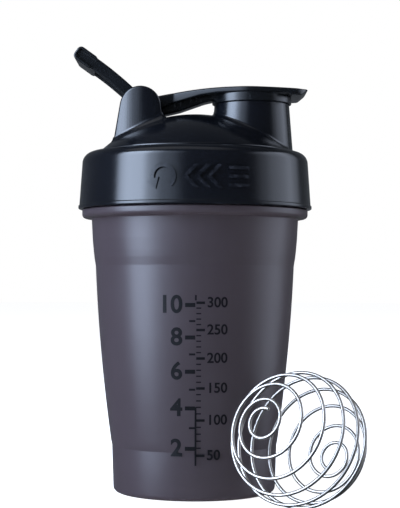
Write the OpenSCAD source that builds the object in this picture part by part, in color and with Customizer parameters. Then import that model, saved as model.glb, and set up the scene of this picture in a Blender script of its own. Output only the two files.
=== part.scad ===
// Shaker bottle: tapered cup, screw-on spouted lid, flip cap, carry loop and a loose wire
// whisk ball that stands beside the cup.
// Millimetres, +Z up. The origin is the centre of the cup's foot, on the table.
// +X points from the hinge towards the spout, and -Y is the side the whisk ball stands on.

/* [Cup] */
// Height of the rim above the table
rim_z = 136; // [132:0.5:137]
// Radius at the bottom of the foot
foot_r = 33.8; // [32:0.1:34.2]
// Height of the short upright foot
foot_h = 19.5; // [14:0.5:24]
// Wall thickness of the cup
cup_wall = 1.8; // [1.2:0.1:2.2]
// Radius of the body just under the grip step
body_top_r = 41.5; // [40.5:0.1:41.8]
// How far the body's side bulges beyond a straight taper
body_bulge = 0.9; // [0:0.1:1.2]
// Radius of the collar ring that the lid's skirt comes down to
collar_r = 47.2; // [46.5:0.1:47.8]

/* [Thread] */
// Outer radius of the threaded neck
neck_r = 43.4; // [43:0.1:43.6]
// Axial distance between neighbouring turns of the two-start thread
thread_pitch = 4; // [3.6:0.1:4.4]
// Height of the thread's crest above the neck
thread_depth = 1.5; // [1.2:0.1:1.5]
// Angle that each start of the thread wraps
thread_wrap = 330; // [240:10:340]

/* [Lid] */
// Outer radius at the bottom edge of the skirt
skirt_low_r = 48.85; // [48.5:0.05:49.5]
// Outer radius at the top of the skirt
skirt_top_r = 47.2; // [47:0.05:47.8]
// Height of the dome's highest point
dome_top_z = 157.4; // [156.5:0.1:158]
// Radius of the sphere that forms the dome
dome_sphere_r = 58.3; // [57:0.1:60]
// Wall thickness of the dome
dome_wall = 2.1; // [1.8:0.1:2.4]

/* [Spout and cap] */
// Distance from the lid's axis to the spout's axis
spout_x = 23.7; // [23:0.1:24.5]
// Height of the spout's rim
spout_top_z = 162.4; // [161.8:0.1:162.8]
// Outer radius of the spout at its rim
spout_top_r = 15.6; // [15.4:0.1:15.8]
// Radius of the drinking bore
spout_bore_r = 13.2; // [12.5:0.1:13.4]
// Radius of the arch along the top of the flip cap's arm
arm_crown_r = 145; // [140:1:160]
// Height of the flip cap's highest point
cap_top_z = 168; // [167.8:0.1:168.6]

/* [Hinge] */
// Distance of the hinge pin behind the lid's axis
hinge_x = -22.5; // [-23.5:0.1:-22]
// Height of the hinge pin
hinge_z = 161; // [160.5:0.1:161.5]
// Radius of the hinge pin
pin_r = 2.5; // [2:0.1:2.6]
// Radial running clearance on the hinge pin
pin_gap = 0.07; // [0.03:0.01:0.1]

/* [Carry loop] */
// Rise of the loop above the horizontal, pointing back from the hinge
loop_angle = 39.6; // [36:0.2:42]
// Distance from the hinge pin to the far face of the loop's end bar
loop_reach = 34.4; // [34:0.2:38]

/* [Whisk ball] */
// Radius of the ball at the middle of its wire
ball_r = 25.9; // [24:0.1:26]
// Radius of the wire
wire_r = 0.7; // [0.6:0.05:0.8]
// Turns of wire from one end to the other
ball_turns = 9.5; // [8:0.1:11]

/* [Hidden] */
$fn = 96;
eps = 0.01;

// Cup
floor_t = 2.2;          // thickness of the cup's bottom
floor_round = 5;        // round inside, between the bottom and the wall
foot_dish = 1.4;        // hollow under the bottom, inside the foot ring
foot_ring_in_r = 29;    // inner radius of the foot ring
foot_round = 2;         // round at the table's corner
collar_low_z = 113.7;
foot_top_r = foot_r + 0.65;
body_low_r = foot_top_r + 0.4;
body_low_z = foot_h + 1.8;
step_z = 94;            // bottom of the grip step under the collar
step_rise = [3.4, 6, 11, collar_low_z - step_z];
step_out = [0.55, 0.85, 1.3, 1.75];
body_steps = 14;
collar_top_z = 117.3;
collar_round = 1.6;
neck_in_r = neck_r - 2;
rim_round = 0.8;

// Thread: the lid's turns lie half a pitch below the cup's, in the middle of its gaps
thread_starts = 2;
thread_lead = thread_starts * thread_pitch;
cup_thread_z = 123;
lid_thread_z = cup_thread_z - thread_pitch / 2;
thread_root_w = 2.4;    // width of a turn where it leaves the neck
thread_slope = 1.4 / 1.5;  // how fast its width falls with height
thread_bed = 0.4;       // how far a turn's foot reaches into the wall
lid_crest_r = neck_r + 0.4;
lid_crest_w = 1.1;
thread_steps = 44;
run_out_steps = 5;      // steps over which a turn fades in and out

// Lid
skirt_low_z = 117.6;
skirt_top_z = 136.6;
lid_bore_r = neck_r + 2;
lid_shelf_z = rim_z + 1.4;
shoulder_in_r = 41.3;
shoulder_z = 141.2;
groove_z = 140.5;
groove_in_r = 39.8;
dome_z0 = dome_top_z - dome_sphere_r;
cavity_sphere_r = dome_sphere_r - dome_wall;
cavity_r = 38;          // radius of the dome's hollow above the shelf
spout_low_z = 139;
spout_low_r = 17.5;

// Seal: a flat ring between the cup's rim and the lid's shelf
seal_gap = 0.05;
seal_in_r = neck_in_r - 0.2;
seal_out_r = lid_bore_r - 0.3;

// Hinge stack, each value a distance from the middle plane
hub_half = 7.4;
leg_in = 7.8;
leg_out = 10.6;
ear_in = 11;
ear_out = 16.4;
pin_half = 14.4;
socket_half = 14.6;
hub_r = 5.2;
eye_r = 5;

// Ear: a round head on a flared foot, with an outer face that bows about an upright axis
ear_bow_r = 22;
ear_bow_x = -20;
ear_head_x = hinge_x;
ear_head_z = 159;
ear_head_r = 8.6;
ear_foot_back_x = -33.9;
ear_foot_front_x = -12.2;
ear_foot_z = 143;

// Flip cap
crown_x = 14;           // where the arm's arch meets the plate's flatter top
plate_crown_r = 700;
crown_reach = 60;       // length covered by each of the two arches
cap_plate_r = 17;       // round plate over the spout
cap_plate_low_z = 165.1;
cap_tab_x = 46.6;       // reach of the finger tab
cap_tab_half = 15;      // half the tab's width
cap_tab_r = 8;
cap_tab_low_z = 164.3;
arm_half = 7;
arm_flare_x = -9;       // from here the arm widens to meet the round plate
rib_half = 4.5;         // deeper rib along the middle of the arm
hub_low_z = hinge_z - hub_r + 0.4;
arm_under = [[-17, 157.8], [-13, 160], [-10.3, 161.2], [-6.1, 162.2], [-2, 163.2],
    [2.1, 164.3], [6.2, 164.9]];        // underside of the arm's edge, as [x, z]
rib_under = [[-12.5, 157.1], [-8.6, 157.9], [-6.3, 158.6], [-2.9, 159.9], [0.5, 161.1],
    [3.9, 162.2], [8.4, 163.2]];        // underside of the rib, as [x, z]
tab_under = [[38.5, cap_plate_low_z], [39.6, cap_tab_low_z], [43.6, cap_tab_low_z]];
tip_low_z = 166.5;
cap_ring_r = spout_top_r + 1;  // ring that covers the spout's rim
cap_ring_gap = 0.25;
ring_overlap = 0.7;     // how far the ring reaches down past the rim
ring_side_gap = 0.25;
plug_r = spout_bore_r - 0.2;
plug_tip_r = plug_r - 0.6;
plug_low_z = 156.5;
plug_wall = 1.6;
cap_seat_z = spout_top_z + cap_ring_gap;
cap_ring_z = spout_top_z - ring_overlap;

// Carry loop
leg_t = 5;              // leg width, seen from the side
bar_l = 9.8;            // length of the end bar, along the loop
bar_t = 5.9;            // thickness of the end bar
bar_tilt = 4;           // the end bar lies this much flatter than the loop
bar_round = 1.9;
bar_half = 11.6;
rim_t = 1.2;            // rim around the recess in each end of the bar
loop_bow = 0.8;         // how far the legs bow upwards between the hinge and the bar

// Whisk ball
ball_x = 40.4;
ball_y = -49.4;
ball_az = -129.2;       // direction of the near pole of the winding
ball_el = 19.9;
ball_phase = 71;        // where the winding starts about its pole
end_ring = 12;          // polar angle of the small ring that closes each end
wire_sides = 6;
rings_per_turn = 40;

// Points of an arc about [x, y] from angle a0 to angle a1
function arc(x, y, r, a0, a1, n = 6) =
    [for (i = [0:n]) let (a = a0 + (a1 - a0) * i / n) [x + r * cos(a), y + r * sin(a)]];

// Height of a sphere of radius r about z0, at a distance d from its axis
function sphere_z(z0, r, d) = z0 + sqrt(r * r - d * d);

// Point on the cup's bulged taper, from t = 0 above the foot to t = 1 below the grip step
function body_point(t, inset = 0) =
    [body_low_r + (body_top_r - body_low_r) * t + 4 * body_bulge * t * (1 - t) - inset,
        body_low_z + (step_z - body_low_z) * t];

// Point i of the grip step, which leads from the body up to the collar
function step_point(i, inset = 0) = [body_top_r + step_out[i] - inset, step_z + step_rise[i]];

// Closed mesh swept through rings of points that all have the same number of points
module sweep(rings) {
    n = len(rings);
    m = len(rings[0]);
    sides = [for (i = [0:n - 2], j = [0:m - 1])
        let (a = i * m + j, b = i * m + (j + 1) % m)
        for (face = [[a, b, b + m], [a, b + m, a + m]]) face];
    caps = [[for (j = [m - 1:-1:0]) j], [for (j = [0:m - 1]) (n - 1) * m + j]];
    polyhedron(points = [for (ring = rings) each ring], faces = concat(sides, caps), convexity = 10);
}

// One start of a right-hand thread. The foot's radius and width and the crest's radius and
// width give the tooth, and side is 1 for an outside thread and -1 for an inside one.
module thread_start(z0, from, foot_r0, foot_w, crest_r0, crest_w, side) {
    sweep([for (i = [0:thread_steps])
        let (
            turn = thread_wrap * i / thread_steps,
            fade = min(1, (i + 0.4) / run_out_steps, (thread_steps - i + 0.4) / run_out_steps),
            crest = foot_r0 + (crest_r0 - foot_r0) * fade,
            z = z0 + thread_lead * turn / 360,
            tooth = [[foot_r0, -foot_w / 2], [crest, -crest_w / 2], [crest, crest_w / 2],
                [foot_r0, foot_w / 2]]
        )
        [for (j = [0:3])
            let (p = tooth[side > 0 ? j : 3 - j])
            [p[0] * cos(from + turn), p[0] * sin(from + turn), z + p[1]]]]);
}

// Cup with its foot, taper, grip step, collar ring and threaded neck
module cup() {
    outside = concat(
        [[0, foot_dish]],
        [[foot_ring_in_r - 3, foot_dish], [foot_ring_in_r, 0]],
        arc(foot_r - foot_round, foot_round, foot_round, -90, 0),
        [[foot_top_r, foot_h]],
        [for (i = [0:body_steps]) body_point(i / body_steps)],
        [for (i = [0:3]) step_point(i)],
        arc(collar_r - collar_round, collar_low_z + collar_round, collar_round, -90, 0),
        [[collar_r, collar_top_z - 0.3], [collar_r - 0.3, collar_top_z]],
        [[neck_r, collar_top_z]],
        arc(neck_r - rim_round, rim_z - rim_round, rim_round, 0, 90),
        arc(neck_in_r + rim_round, rim_z - rim_round, rim_round, 90, 180)
    );
    inside = concat(
        [[neck_in_r, collar_low_z + 1]],
        [for (i = [2:-1:0]) step_point(i, cup_wall)],
        [for (i = [body_steps:-1:0]) body_point(i / body_steps, cup_wall)],
        [[foot_top_r - cup_wall, foot_h]],
        arc(foot_r - cup_wall - floor_round, foot_dish + floor_t + floor_round, floor_round, 0, -90),
        [[0, foot_dish + floor_t]]
    );
    color("dimgray") {
        rotate_extrude() polygon(concat(outside, inside));
        for (from = [0:360 / thread_starts:359])
            thread_start(cup_thread_z, from, neck_r - thread_bed, thread_root_w,
                neck_r + thread_depth, thread_root_w - thread_slope * thread_depth, 1);
    }
}

// Soft ring that the lid presses onto the cup's rim
module lid_seal() {
    color("silver")
        rotate_extrude()
            translate([seal_in_r, rim_z + seal_gap])
                square([seal_out_r - seal_in_r, lid_shelf_z - rim_z - 2 * seal_gap]);
}

// Outside of the skirt, the shoulder, the groove and the dome, as a solid of revolution
module lid_outside() {
    shoulder_round = 4.6;
    dome_low_r = groove_in_r - 0.3;
    rotate_extrude()
        polygon(concat(
            [[0, skirt_low_z], [skirt_low_r - 0.5, skirt_low_z], [skirt_low_r, skirt_low_z + 0.6]],
            [[skirt_top_r, skirt_top_z]],
            arc(skirt_top_r - shoulder_round, skirt_top_z, shoulder_round, 15, 78),
            [[shoulder_in_r, shoulder_z], [shoulder_in_r - 0.6, groove_z], [groove_in_r, groove_z]],
            [for (i = [0:16])
                let (r = dome_low_r * (1 - i / 16))
                [r, sphere_z(dome_z0, dome_sphere_r, r)]]
        ));
}

// Space inside the lid: the threaded bore, the shelf and the hollow of the dome
module lid_cavity() {
    rotate_extrude()
        polygon(concat(
            [[0, skirt_low_z - 1], [lid_bore_r + 1.2, skirt_low_z - 1], [lid_bore_r + 1.2, skirt_low_z]],
            [[lid_bore_r, skirt_low_z + 1.6], [lid_bore_r, lid_shelf_z], [cavity_r, lid_shelf_z]],
            [for (i = [0:14])
                let (r = cavity_r * (1 - i / 14))
                [r, sphere_z(dome_z0, cavity_sphere_r, r)]]
        ));
}

// Outline of one hinge ear, in the X-Z plane
module ear_outline() {
    hull() {
        translate([ear_head_x, ear_head_z]) circle(r = ear_head_r);
        translate([ear_foot_back_x, ear_foot_z])
            square([ear_foot_front_x - ear_foot_back_x, 1]);
    }
}

// Flat outline in the X-Z plane, extruded along Y from y0 to y1
module side_slab(y0, y1) {
    translate([0, y1, 0]) rotate([90, 0, 0]) linear_extrude(y1 - y0) children();
}

// Cylinder along Y through the hinge, from y0 to y1
module hinge_rod(r, y0, y1) {
    translate([hinge_x, y1, hinge_z]) rotate([90, 0, 0]) cylinder(r = r, h = y1 - y0);
}

// Hinge ear on the +Y or the -Y side
module ear(side) {
    intersection() {
        side_slab(side > 0 ? ear_in : -ear_out, side > 0 ? ear_out : -ear_in) ear_outline();
        translate([ear_bow_x, side * (ear_out - ear_bow_r), ear_foot_z - 1])
            cylinder(r = ear_bow_r, h = 30);
    }
}

// Lid with its thread, dome, spout and the two hinge ears
module lid() {
    color("#15171c") {
        difference() {
            union() {
                lid_outside();
                translate([spout_x, 0, spout_low_z])
                    cylinder(r1 = spout_low_r, r2 = spout_top_r, h = spout_top_z - spout_low_z);
                for (side = [-1, 1]) ear(side);
            }
            lid_cavity();
            translate([spout_x, 0, spout_low_z - 8])
                cylinder(r = spout_bore_r, h = spout_top_z - spout_low_z + 9);
            hinge_rod(pin_r + pin_gap, -socket_half, socket_half);
        }
        for (from = [0:360 / thread_starts:359])
            thread_start(lid_thread_z, from, lid_bore_r + thread_bed, lid_crest_w
                + thread_slope * (lid_bore_r - lid_crest_r), lid_crest_r, lid_crest_w, -1);
    }
}

// Everything under the cap's top: an arch over the arm, and a flatter one over the plate
module cap_crown() {
    for (side = [-1, 1]) {
        r = side < 0 ? arm_crown_r : plate_crown_r;
        intersection() {
            translate([crown_x, cap_top_z - r]) circle(r = r, $fn = 4 * round(r / 2));
            translate([side < 0 ? crown_x - crown_reach : crown_x, cap_top_z - 40])
                square([crown_reach, 41]);
        }
    }
}

// Side outline of the flip cap's arm, plate and tab
module cap_side() {
    intersection() {
        polygon(concat(
            [[hinge_x - hub_r, hinge_z], [hinge_x, hub_low_z]],
            arm_under,
            [[spout_x - cap_ring_r + 2, cap_plate_low_z]],
            tab_under,
            [[cap_tab_x, tip_low_z], [cap_tab_x, cap_top_z + 1], [hinge_x - hub_r, cap_top_z + 1]]
        ));
        cap_crown();
    }
}

// Side outline of the rib under the arm, from the hinge to the ring
module rib_side() {
    inside_z = 163;         // level inside the arm, where the rib ends
    polygon(concat(
        [[hinge_x, hub_low_z]],
        rib_under,
        [[spout_x - cap_ring_r + 1.3, cap_plate_low_z + 0.4], [2, cap_plate_low_z + 0.4]],
        [[-10, inside_z], [hinge_x, inside_z]]
    ));
}

// Outline of the flip cap seen from above: arm, round plate and finger tab
module cap_plan() {
    union() {
        translate([hinge_x - hub_r, -arm_half])
            square([arm_flare_x - hinge_x + hub_r + eps, 2 * arm_half]);
        hull() {
            translate([arm_flare_x, -arm_half]) square([eps, 2 * arm_half]);
            translate([spout_x, 0]) circle(r = cap_plate_r);
        }
        hull() {
            translate([spout_x, 0]) circle(r = cap_plate_r);
            for (side = [-1, 1])
                translate([cap_tab_x - cap_tab_r, side * (cap_tab_half - cap_tab_r)])
                    circle(r = cap_tab_r);
        }
    }
}

// Ring round the spout's rim, with a step inside it that covers the rim's edge
module cap_ring() {
    difference() {
        translate([spout_x, 0, cap_ring_z])
            cylinder(r = cap_ring_r, h = cap_plate_low_z - cap_ring_z + eps);
        translate([spout_x, 0, cap_ring_z - 1])
            cylinder(r = spout_top_r + ring_side_gap, h = cap_seat_z - cap_ring_z + 1);
    }
}

// Flip cap with its hinge pin, arm, plate, finger tab, ring and hollow plug
module flip_cap() {
    plan_low_z = 150;
    color("#15171c") {
        intersection() {
            side_slab(-20, 20) cap_side();
            translate([0, 0, plan_low_z]) linear_extrude(30) cap_plan();
        }
        side_slab(-rib_half, rib_half) rib_side();
        hinge_rod(hub_r, -hub_half, hub_half);
        hinge_rod(pin_r, -pin_half, pin_half);
        cap_ring();
        difference() {
            translate([spout_x, 0, plug_low_z])
                cylinder(r1 = plug_tip_r, r2 = plug_r, h = cap_seat_z - plug_low_z + eps);
            translate([spout_x, 0, plug_low_z - 1])
                cylinder(r = plug_tip_r - plug_wall, h = cap_seat_z - plug_low_z + 1);
        }
    }
}

// Side outline of one loop leg, lying along +X from the hinge
module leg_side() {
    span = loop_reach - bar_l / 2;
    bow_r = (span * span / 4 + loop_bow * loop_bow) / (2 * loop_bow);
    half = leg_t / 2;
    open = asin(span / 2 / bow_r);
    difference() {
        union() {
            polygon(concat(
                arc(span / 2, loop_bow - bow_r, bow_r + half, 90 + open, 90 - open, 12),
                arc(span / 2, loop_bow - bow_r, bow_r - half, 90 - open, 90 + open, 12)
            ));
            circle(r = eye_r);
        }
        circle(r = pin_r + pin_gap);
    }
}

// Side outline of the end bar, made smaller all round by inset, and reaching extra further
// towards the hinge
module bar_side(inset = 0, extra = 0) {
    half_l = bar_l / 2 - bar_round;
    half_t = bar_t / 2 - bar_round;
    translate([loop_reach - bar_l / 2, 0])
        rotate(-bar_tilt)
            hull()
                for (x = [-half_l - extra, half_l], z = [-half_t, half_t])
                    translate([x, z]) circle(r = bar_round - inset);
}

// Carry loop: two bowed legs on the hinge pin and an end bar with a rim round each end
module carry_loop() {
    color("#15171c")
        translate([hinge_x, 0, hinge_z]) mirror([1, 0, 0]) rotate([0, -loop_angle, 0]) {
            for (side = [-1, 1])
                side_slab(side > 0 ? leg_in : -leg_out, side > 0 ? leg_out : -leg_in)
                    leg_side();
            difference() {
                side_slab(-bar_half, bar_half) bar_side();
                for (y = [-bar_half - 1, leg_out])
                    side_slab(y, y + bar_half + 1 - leg_out) bar_side(rim_t, 4);
            }
        }
}

// Wire whisk ball: one wire wound from pole to pole over a sphere
module whisk_ball() {
    pole = [cos(ball_el) * cos(ball_az), cos(ball_el) * sin(ball_az), sin(ball_el)];
    side_u = cross([0, 0, 1], pole) / norm(cross([0, 0, 1], pole));
    side_v = cross(pole, side_u);
    centre = [ball_x, ball_y, ball_r + wire_r];
    steps = ball_turns * rings_per_turn;
    function open_pole(polar) = pow(pow(abs(polar), 4) + pow(end_ring, 4), 1 / 4);
    function spot(i) =
        let (
            even = 180 * i / steps,
            polar = even < 90 ? open_pole(even) : 180 - open_pole(180 - even),
            turn = ball_phase + 360 * ball_turns * i / steps
        )
        sin(polar) * (cos(turn) * side_u + sin(turn) * side_v) + cos(polar) * pole;
    color("lightgray")
        sweep([for (i = [0:steps])
            let (
                out = spot(i),
                ahead = spot(i + 0.5) - spot(i - 0.5),
                along = ahead / norm(ahead),
                across = cross(out, along)
            )
            [for (j = [0:wire_sides - 1])
                let (a = 360 * j / wire_sides)
                centre + ball_r * out + wire_r * (cos(a) * out + sin(a) * across)]]);
}

cup();
lid_seal();
lid();
flip_cap();
carry_loop();
whisk_ball();
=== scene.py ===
"""Looks of a shaker bottle with its wire whisk ball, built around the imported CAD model.

Shapes are worked out in millimetres in the CAD's own frame: +Z up, +X from the hinge to the
spout, the origin under the middle of the cup. solid() turns them into metres.
"""

import math

import bmesh
import bpy
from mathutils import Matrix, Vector


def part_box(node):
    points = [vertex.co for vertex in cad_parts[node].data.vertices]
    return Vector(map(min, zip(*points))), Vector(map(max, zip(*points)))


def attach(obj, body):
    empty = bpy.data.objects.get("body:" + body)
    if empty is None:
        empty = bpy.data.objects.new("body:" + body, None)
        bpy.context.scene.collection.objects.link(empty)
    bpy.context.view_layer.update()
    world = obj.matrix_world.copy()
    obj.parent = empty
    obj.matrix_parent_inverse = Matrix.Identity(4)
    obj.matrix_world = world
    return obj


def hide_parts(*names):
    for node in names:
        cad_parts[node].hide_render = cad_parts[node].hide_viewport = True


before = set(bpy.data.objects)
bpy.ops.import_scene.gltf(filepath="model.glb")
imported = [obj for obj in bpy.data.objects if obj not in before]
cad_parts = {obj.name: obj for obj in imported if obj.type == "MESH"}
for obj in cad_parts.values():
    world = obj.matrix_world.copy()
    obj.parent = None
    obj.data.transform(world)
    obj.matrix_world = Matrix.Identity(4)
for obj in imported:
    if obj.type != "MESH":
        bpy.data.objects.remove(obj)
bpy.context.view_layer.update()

MM = 0.001
SIDES = 240  # steps round a lathed piece


def box_mm(node):
    low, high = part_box(node)
    return low / MM, high / MM


cup_high = box_mm("cup")[1]
lid_low, lid_high = box_mm("lid")
seal_low, seal_high = box_mm("lid_seal")
cap_low, cap_high = box_mm("flip_cap")
loop_high = box_mm("carry_loop")[1]

# Cup, as the CAD has it
RIM_Z = cup_high.z
COLLAR_R = cup_high.x
FOOT_R = 33.8
FOOT_Z = 19.5
FOOT_TOP_R = FOOT_R + 0.65
WALL = 1.8
FLOOR_Z = 3.6
BODY_LOW = (FOOT_TOP_R + 0.4, FOOT_Z + 1.8)
BODY_TOP = (41.5, 94)
BODY_BULGE = 0.9
STEP = [(0.55, 3.4), (0.85, 6), (1.3, 11), (1.75, 19.7)]
COLLAR_Z = (113.7, 117.3)
NECK_R = 43.4
NECK_IN_R = NECK_R - 2

# Threads
PITCH = 4
STARTS = 2
LEAD = STARTS * PITCH
CUP_THREAD_Z = 123
THREAD_WRAP = 330

# Lid
SKIRT_R = lid_high.y
SKIRT_Z = lid_low.z
SKIRT_TOP = (47.2, 136.6)
SHOULDER_R = 4.6
BEAD_OUT = 0.42
BEAD_H = (1.35, 1.65)  # up to its edge, and up to the wall above it
BORE_R = NECK_R + 2
SHELF_Z = RIM_Z + 1.4
DOME_TOP = 157.4
DOME_R = 58.3
DOME_Z0 = DOME_TOP - DOME_R
DOME_EDGE_R = 39.5
DOME_WALL = 2.1
CAVITY_R = 38
GROOVE_Z = 140.5
GROOVE_R = (39.8, 40.75)
GROOVE_EDGE = (41.3, 141.2)

# Spout, ears and hinge
SPOUT_X = 23.7
SPOUT_TOP = (15.6, 162.4)
SPOUT_LOW = (17.5, 139)
SPOUT_BORE_R = 13.2
HINGE = (-22.5, 161)
PIN_R = 2.5
PIN_GAP = 0.07  # round the pin in the ears
PIN_HALF = 14.4
SOCKET_HALF = 14.6
EAR_Y = (11, 16.4)
EAR_BOW = (-20, 22)  # upright axis and radius of the bowed outer face
EAR_HEAD = (-22.5, 159, 8.6)
EAR_FOOT_X = (-33.9, -12.2)
EAR_FOOT_Z = 143

# Flip cap
CAP_TOP = cap_high.z
CAP_PLATE_R = cap_high.y
CAP_TIP_X = cap_high.x
CAP_RING_R = (SPOUT_TOP[0] + 0.25, SPOUT_TOP[0] + 1)
CAP_RING_Z = SPOUT_TOP[1] - 0.7
CAP_SEAT_Z = SPOUT_TOP[1] + 0.25
CAP_PLATE_Z = 165.1
ARM_HALF = 7
ARM_FLARE_X = -9
RIB_HALF = 4.5
HUB_R = 5.2
HUB_HALF = 7.4
CROWN_X = 14  # where the arm's arch meets the plate's flatter one
CROWN_R = (145, 700)
TAB_LOW_Z = 164.3
TIP_LOW_Z = 166.5
PLUG_R = (10.8, 12.4, 13)  # inside, tip, and where it leaves the plate
PLUG_LOW_Z = cap_low.z + 0.7

# Carry loop
LOOP_ANGLE = 39.6
LOOP_REACH = 34.4
LOOP_LEG_Y = (7.8, 10.6)
BAR_HALF = loop_high.y
BAR_L = 9.8
BAR_T = 5.9
BAR_ROUND = 1.9
BAR_TILT = 4
LEG_T = 5
LOOP_BOW = 0.8
EYE_R = 5
EYE_GAP = 0.14  # round the pin in the loop's eyes
RIM_T = 1.2


# ---------------------------------------------------------------------------------------------
# Mesh tools
# ---------------------------------------------------------------------------------------------


def arc(x, y, radius, start, end, steps=8):
    """Points of an arc about (x, y), from angle start to angle end in degrees."""
    angles = [math.radians(start + (end - start) * i / steps) for i in range(steps + 1)]
    return [(x + radius * math.cos(a), y + radius * math.sin(a)) for a in angles]


def rounded(corners, closed=False, steps=6):
    """Points of a path whose corners (x, y, radius) are rounded, and whose points (x, y) are kept."""
    points = []
    for i, (x, y, *rest) in enumerate(corners):
        end = not closed and i in (0, len(corners) - 1)
        if not rest or rest[0] == 0 or end:
            points.append((x, y))
            continue
        here = Vector((x, y))
        back = (Vector(corners[i - 1][:2]) - here).normalized()
        ahead = (Vector(corners[(i + 1) % len(corners)][:2]) - here).normalized()
        half = back.angle(ahead) / 2
        centre = here + (back + ahead).normalized() * rest[0] / math.sin(half)
        start = here + back * rest[0] / math.tan(half) - centre
        turn = math.pi - 2 * half
        if back.cross(ahead) > 0:
            turn = -turn
        for k in range(steps + 1):
            a = turn * k / steps
            points.append(
                (
                    centre.x + start.x * math.cos(a) - start.y * math.sin(a),
                    centre.y + start.x * math.sin(a) + start.y * math.cos(a),
                )
            )
    return points


def at(path, value, by=0):
    """The other coordinate of a path where its coordinate by has that value."""
    for a, b in zip(path, path[1:]):
        if min(a[by], b[by]) <= value <= max(a[by], b[by]) and a[by] != b[by]:
            share = (value - a[by]) / (b[by] - a[by])
            return a[1 - by] + share * (b[1 - by] - a[1 - by])
    return path[-1][1 - by] if value > path[-1][by] else path[0][1 - by]


def solid(name, points, faces):
    """A new object from points in millimetres, with its faces turned outwards."""
    mesh = bpy.data.meshes.new(name)
    mesh.from_pydata([[c * MM for c in p] for p in points], [], faces)
    bm = bmesh.new()
    bm.from_mesh(mesh)
    bmesh.ops.recalc_face_normals(bm, faces=bm.faces)
    bm.to_mesh(mesh)
    bm.free()
    piece = bpy.data.objects.new(name, mesh)
    bpy.context.scene.collection.objects.link(piece)
    return piece


def skin(name, rings, round_trip=False):
    """A solid through rings of points. It has flat ends, or joins its last ring to its first."""
    count, size = len(rings), len(rings[0])
    faces = []
    for i in range(count if round_trip else count - 1):
        for j in range(size):
            a, b = i * size, ((i + 1) % count) * size
            faces.append((a + j, a + (j + 1) % size, b + (j + 1) % size, b + j))
    if not round_trip:
        faces += [tuple(range(size))[::-1], tuple(range((count - 1) * size, count * size))]
    return solid(name, [p for ring in rings for p in ring], faces)


def upright(x, y, z):
    return (x, y, z)


def on_spout(x, y, z):
    return (SPOUT_X + x, y, z)


def on_hinge(x, y, z):
    return (HINGE[0] + x, z, HINGE[1] + y)


def lathe(name, profile, place=upright, sides=SIDES):
    """A solid of revolution. The profile is a closed ring, or runs from the axis to the axis."""
    turns = [(math.cos(math.tau * k / sides), math.sin(math.tau * k / sides)) for k in range(sides)]
    rings = [[place(r * c, r * s, z) for c, s in turns] for r, z in profile if r > 1e-6]
    if len(rings) == len(profile):
        return skin(name, rings, round_trip=True)
    points = [p for ring in rings for p in ring]
    faces = []
    for i in range(len(rings) - 1):
        for j in range(sides):
            a, b, k = i * sides, (i + 1) * sides, (j + 1) % sides
            faces.append((a + j, a + k, b + k, b + j))
    for pole, start in ((profile[0], 0), (profile[-1], (len(rings) - 1) * sides)):
        points.append(place(0, 0, pole[1]))
        faces += [
            (len(points) - 1, start + j, start + (j + 1) % sides) for j in range(sides)
        ]
    return solid(name, points, faces)


def offset(outline, distance):
    """A closed anticlockwise outline moved outwards, by one distance or by one for each point."""
    reach = distance if isinstance(distance, list) else [distance] * len(outline)
    moved = []
    for i, here in enumerate(outline):
        back = (Vector(here) - Vector(outline[i - 1])).normalized()
        ahead = (Vector(outline[(i + 1) % len(outline)]) - Vector(here)).normalized()
        a, b = Vector((back.y, -back.x)), Vector((ahead.y, -ahead.x))
        mitre = (a + b) / (1 + a.dot(b))
        moved.append((here[0] + mitre.x * reach[i], here[1] + mitre.y * reach[i]))
    return moved


def slab(name, outline, low, high, edge, place, steps=4):
    """An outline made thick from low to high, with its edges rounded to the radius edge."""
    rings = []
    for side, level in ((-1, low + edge), (1, high - edge)):
        for k in range(steps + 1):
            a = math.radians(90 * (1 - k / steps if side < 0 else k / steps))
            inset = offset(outline, -edge * (1 - math.cos(a)))
            rings.append([place(u, v, level + side * edge * math.sin(a)) for u, v in inset])
    return skin(name, rings)


def apply_modifiers(piece):
    graph = bpy.context.evaluated_depsgraph_get()
    mesh = bpy.data.meshes.new_from_object(piece.evaluated_get(graph), depsgraph=graph)
    piece.modifiers.clear()
    piece.data = mesh


def combine(piece, others, operation="UNION"):
    """Joins the others to the piece, or cuts them from it, and removes them."""
    for other in others:
        step = piece.modifiers.new("combine", "BOOLEAN")
        step.solver = "MANIFOLD"
        step.operation = operation
        step.object = other
    apply_modifiers(piece)
    for other in others:
        bpy.data.objects.remove(other)
    return piece


def soften(piece, voxel, passes):
    """Rebuilds a solid on an even grid and smooths it, which rounds every edge and corner."""
    grid = piece.modifiers.new("grid", "REMESH")
    grid.mode = "VOXEL"
    grid.voxel_size = voxel * MM
    flow = piece.modifiers.new("flow", "SMOOTH")
    flow.factor = 0.5
    flow.iterations = passes
    apply_modifiers(piece)
    return piece


def hand_over(piece, body, material, stands_for=None, sharp=32):
    """Shades a finished piece and lets it ride on its CAD body."""
    piece.data.polygons.foreach_set("use_smooth", [True] * len(piece.data.polygons))
    piece.data.set_sharp_from_angle(angle=math.radians(sharp))
    piece.data.materials.clear()
    piece.data.materials.append(material)
    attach(piece, body)
    if stands_for:
        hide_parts(stands_for)
    return piece


# ---------------------------------------------------------------------------------------------
# Materials
# ---------------------------------------------------------------------------------------------


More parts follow.
